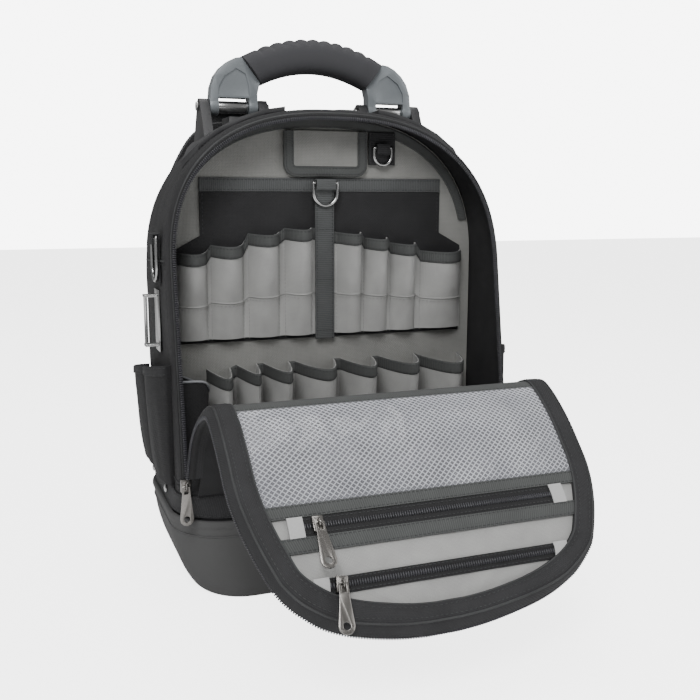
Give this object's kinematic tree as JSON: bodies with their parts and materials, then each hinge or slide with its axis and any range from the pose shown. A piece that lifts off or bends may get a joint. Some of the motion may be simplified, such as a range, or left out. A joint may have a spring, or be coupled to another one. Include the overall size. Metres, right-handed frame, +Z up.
{
  "type": "tool backpack",
  "caption": "Tool backpack with a moulded tub base, folded-down zipped front panel, pleated tool pockets inside and a folding grip handle on top.",
  "frame": {"origin": "middle of the tub's flat underside, on the floor that the pack stands on", "axes": "+Z up, +Y towards the wearer's back, -Y out of the open front, +X to the right of someone facing the open front"},
  "size_m": [0.3926, 0.4889, 0.549],
  "materials": {
    "tub_rubber": "matt moulded rubber, charcoal",
    "shell_fabric": "woven black nylon",
    "grey_fabric": "light grey woven lining",
    "grey_web": "ribbed dark grey webbing",
    "black_fabric": "black nylon",
    "black_web": "black webbing",
    "zip_coil": "black coil zip on woven tape",
    "clear_sheet": "clear sheet over grey mesh",
    "steel": "bright plated steel",
    "handle_metal": "satin grey paint",
    "hard_plastic": "moulded dark grey plastic",
    "grip_rubber": "soft black rubber with finger bumps",
    "pad_fabric": "dark padded mesh fabric"
  },
  "bodies": {
    "bag": {"tub": "tub_rubber", "shell": "shell_fabric", "tool_panel": "grey_fabric", "upper_pockets": "grey_fabric", "lower_pockets": "grey_fabric", "top_flap": "grey_fabric", "front_panel": "grey_fabric", "cross_web": "grey_web", "centre_web": "grey_web", "arch_band": "grey_web", "upper_pockets_binding": "grey_web", "lower_pockets_binding": "grey_web", "fold_ribbon": "grey_web", "window_ribbon": "grey_web", "zip_ribbon": "grey_web", "document_pocket": "black_fabric", "inner_pocket": "black_fabric", "side_pocket_right": "black_fabric", "side_pocket_left": "black_fabric", "panel_border": "black_fabric", "rim_band": "black_web", "ring_tab": "black_web", "ring_side_loop": "black_web", "lower_web_right": "black_web", "lower_web_left": "black_web", "body_zip_half": "zip_coil", "panel_zip_half": "zip_coil", "pocket_zip_upper": "zip_coil", "pocket_zip_lower": "zip_coil", "mesh_window": "clear_sheet", "rivet_left_back": "steel", "rivet_left_front": "steel", "rivet_right_back": "steel", "rivet_right_front": "steel", "rivet_front_left": "steel", "rivet_front_right": "steel", "tape_clip": "steel", "pin_right": "steel", "pin_left": "steel", "slider_pocket_upper": "steel", "slider_pocket_lower": "steel", "slider_main_left": "steel", "slider_main_right": "steel", "bracket_right": "hard_plastic", "bracket_left": "hard_plastic", "buckle_right": "hard_plastic", "buckle_left": "hard_plastic", "back_pad": "pad_fabric", "strap_right": "pad_fabric", "strap_left": "pad_fabric"},
    "handle": {"leg_left": "handle_metal", "leg_right": "handle_metal", "grip": "grip_rubber"},
    "ring_side": {"ring_side": "steel"},
    "ring_centre": {"ring_centre": "steel"},
    "ring_upper": {"ring_upper": "steel"},
    "pull_pocket_upper": {"pull_pocket_upper": "steel"},
    "pull_pocket_lower": {"pull_pocket_lower": "steel"},
    "pull_main_left": {"pull_main_left": "steel"},
    "pull_main_right": {"pull_main_right": "steel"}
  },
  "joints": [
    {"name": "handle_fold", "type": "hinge", "parent": "bag", "child": "handle", "pos_m": [0, 0.036, 0.477], "axis": [1, 0, 0], "range_deg": [-70, 70]},
    {"name": "ring_side_swing", "type": "hinge", "parent": "bag", "child": "ring_side", "pos_m": [-0.1803, -0.016, 0.347], "axis": [0, 1, 0], "range_deg": [0, 120]},
    {"name": "ring_centre_swing", "type": "hinge", "parent": "bag", "child": "ring_centre", "pos_m": [-0.0025, -0.01375, 0.4], "axis": [-1, 0, 0], "range_deg": [0, 120]},
    {"name": "ring_upper_swing", "type": "hinge", "parent": "bag", "child": "ring_upper", "pos_m": [0.063, -0.01045, 0.437], "axis": [-1, 0, 0], "range_deg": [0, 120]},
    {"name": "pull_pocket_upper_lift", "type": "hinge", "parent": "bag", "child": "pull_pocket_upper", "pos_m": [-0.10476, -0.28899, 0.14239], "axis": [-0.9999, 0.0068, 0.0077], "range_deg": [0, 150]},
    {"name": "pull_pocket_lower_lift", "type": "hinge", "parent": "bag", "child": "pull_pocket_lower", "pos_m": [-0.09569, -0.31736, 0.10364], "axis": [-0.9891, 0.083, 0.1214], "range_deg": [0, 150]},
    {"name": "pull_main_left_lift", "type": "hinge", "parent": "bag", "child": "pull_main_left", "pos_m": [-0.1715, -0.1023, 0.11965], "axis": [-1, 0, 0], "range_deg": [0, 100]},
    {"name": "pull_main_right_lift", "type": "hinge", "parent": "bag", "child": "pull_main_right", "pos_m": [0.1715, -0.1023, 0.11965], "axis": [-1, 0, 0], "range_deg": [0, 100]}
  ]
}
